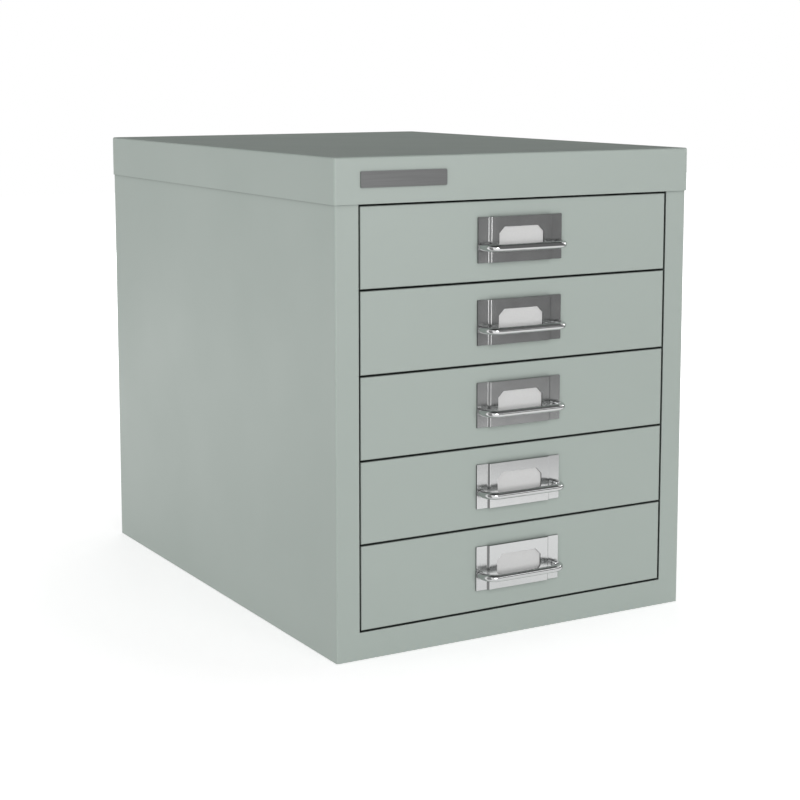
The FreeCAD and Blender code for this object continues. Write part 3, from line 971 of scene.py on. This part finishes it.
@dataclass
class StudioCard:
    """Plain card that only the cabinet's bright metal and the enamel's sheen mirror.

    Each of its two level edges is given by its width, its distance from the middle of
    the drawers' side, and its height. Azimuth is as for a lamp.
    """

    name: str
    azimuth: float
    low_edge: tuple[float, float, float]
    high_edge: tuple[float, float, float]
    finish: Finish

    def build(self) -> None:
        """Set the card up, level across and square to its azimuth."""
        angle = math.radians(self.azimuth)
        out = Vector((math.sin(angle), -math.cos(angle), 0))
        along = Vector((out.y, -out.x, 0))
        corners = []
        edges = (self.low_edge, (-1, 1)), (self.high_edge, (1, -1))
        for (width, distance, height), ends in edges:
            middle = Vector((0, CAD_BOX[0].y, height * MM)) + out * (distance * MM)
            corners += [middle + along * (end * width / 2 * MM) for end in ends]
        mesh = bpy.data.meshes.new(self.name)
        mesh.from_pydata(corners, [], [(0, 1, 2, 3)])
        card = new_piece(self.name, mesh, self.finish)
        card.visible_camera = card.visible_diffuse = card.visible_shadow = False
        card.visible_transmission = card.visible_volume_scatter = False


@dataclass
class Studio:
    """Pale floor, even sky and soft lamps."""

    floor_size: float = 8000.0
    floor_drop: float = 0.2
    sky: float = 0.38
    sky_colour: str = "#FFFFFF"

    def build(self) -> None:
        """Lay the floor, light the sky and hang the lamps and cards."""
        self.lay_floor()
        self.light_sky()
        for lamp in (
            Softbox("front_softbox", -2, 2300, 460, 1700, 900, 27.0),
            Softbox("left_softbox", -96, 2300, 460, 1500, 900, 19.0, seen=Seen.BY_MATT_ONLY),
            Softbox("back_softbox", 150, 2300, 700, 1500, 1200, 16.0, seen=Seen.BY_MATT_ONLY),
            Softbox("right_softbox", 93, 2300, 700, 900, 900, 12.0),
        ):
            lamp.build()
            log.info("%s", lamp.name)
        # Every card stands clear of the drawers at their full travel.
        for card in (
            StudioCard("grey_card_right", 30, (900, 610, 90), (900, 610, 240), GREY),
            StudioCard("grey_card_right_low", 30, (900, 610, 0), (900, 610, 90), MIDDLE_GREY),
            StudioCard("pale_card_floor", 30, (900, 420, 1), (900, 610, 1), PALE_GREY),
            StudioCard("grey_card_far_right", 85, (900, 630, 0), (900, 630, 240), GREY),
            StudioCard("grey_card_near", 30, (640, 360, 249), (640, 360, 900), GREY),
            StudioCard("white_card_right", 30, (900, 635, 240), (900, 560, 640), WHITE),
            StudioCard("grey_card_left", -68, (78, 150, 0), (260, 600, 600), MIDDLE_GREY),
            StudioCard("grey_card_left_low", -68, (50, 90, 0), (56, 105, 18), MIDDLE_GREY),
            StudioCard("dark_card_above", 0, (1600, 1200, 1000), (1600, -500, 1000), DARK_GREY),
            StudioCard("dark_card_behind", 150, (3000, 1300, 0), (3000, 1300, 1300), DARK_GREY),
        ):
            card.build()

    def lay_floor(self) -> None:
        """Lay a square of studio paper just under the cabinet."""
        half, level = self.floor_size / 2 * MM, -self.floor_drop * MM
        mesh = bpy.data.meshes.new("floor")
        mesh.from_pydata([(-half, -half, level), (half, -half, level),
                          (half, half, level), (-half, half, level)], [], [(0, 1, 2, 3)])
        floor = new_piece("floor", mesh, PAPER)
        # The enamel's painted seam shade doesn't count the floor, which would draw
        # a dark line along the base.
        floor.visible_shadow = False

    def light_sky(self) -> None:
        """Make an even sky that lights softly and shows as white."""
        world = bpy.data.worlds.new("studio")
        bpy.context.scene.world = world
        world.use_nodes = True
        # Without light sampling of the sky, the cards hide it from gloss in full.
        world.cycles.sampling_method = "NONE"
        tree = world.node_tree
        lighting = tree.nodes["Background"]
        lighting.inputs["Color"].default_value = linear(self.sky_colour)
        lighting.inputs["Strength"].default_value = self.sky
        shown = add_node(tree, "ShaderNodeBackground", {"Color": WHITE_LIGHT, "Strength": 1.0})
        mixed = add_node(tree, "ShaderNodeMixShader", {},
                         {0: shown_rays(tree), 1: lighting.outputs[0], 2: shown.outputs[0]})
        tree.links.new(mixed.outputs[0], tree.nodes["World Output"].inputs["Surface"])


@dataclass
class PhotoCamera:
    """The photograph's viewpoint, fitted to the cabinet's corners in it.

    The photograph's own camera is level, with a larger shift. This one is tilted down
    instead, which keeps the views from other sides in frame.
    """

    place: tuple[float, float, float] = (-652.9, -1163.6, 379.4)
    yaw: float = 29.95
    pitch: float = 7.54
    lens: float = 79.98
    sensor_width: float = 36.0
    shift_y: float = -0.12

    def build(self) -> None:
        """Set up the scene's camera."""
        data = bpy.data.cameras.new("photo_camera")
        data.lens = self.lens
        data.sensor_width = self.sensor_width
        data.shift_y = self.shift_y
        camera = bpy.data.objects.new("photo_camera", data)
        bpy.context.scene.collection.objects.link(camera)
        camera.location = Vector(self.place) * MM
        camera.rotation_euler = (math.radians(90 - self.pitch), 0, math.radians(-self.yaw))
        bpy.context.scene.camera = camera


def main() -> None:
    """Build the cabinet, its studio and the camera."""
    logging.basicConfig(level=logging.INFO, format="%(message)s")
    bpy.context.scene.view_settings.view_transform = "Standard"
    Case().dress()
    for number in DRAWERS:
        Drawer(number).build()
    Studio().build()
    PhotoCamera().build()


if __name__ == "__main__":
    main()
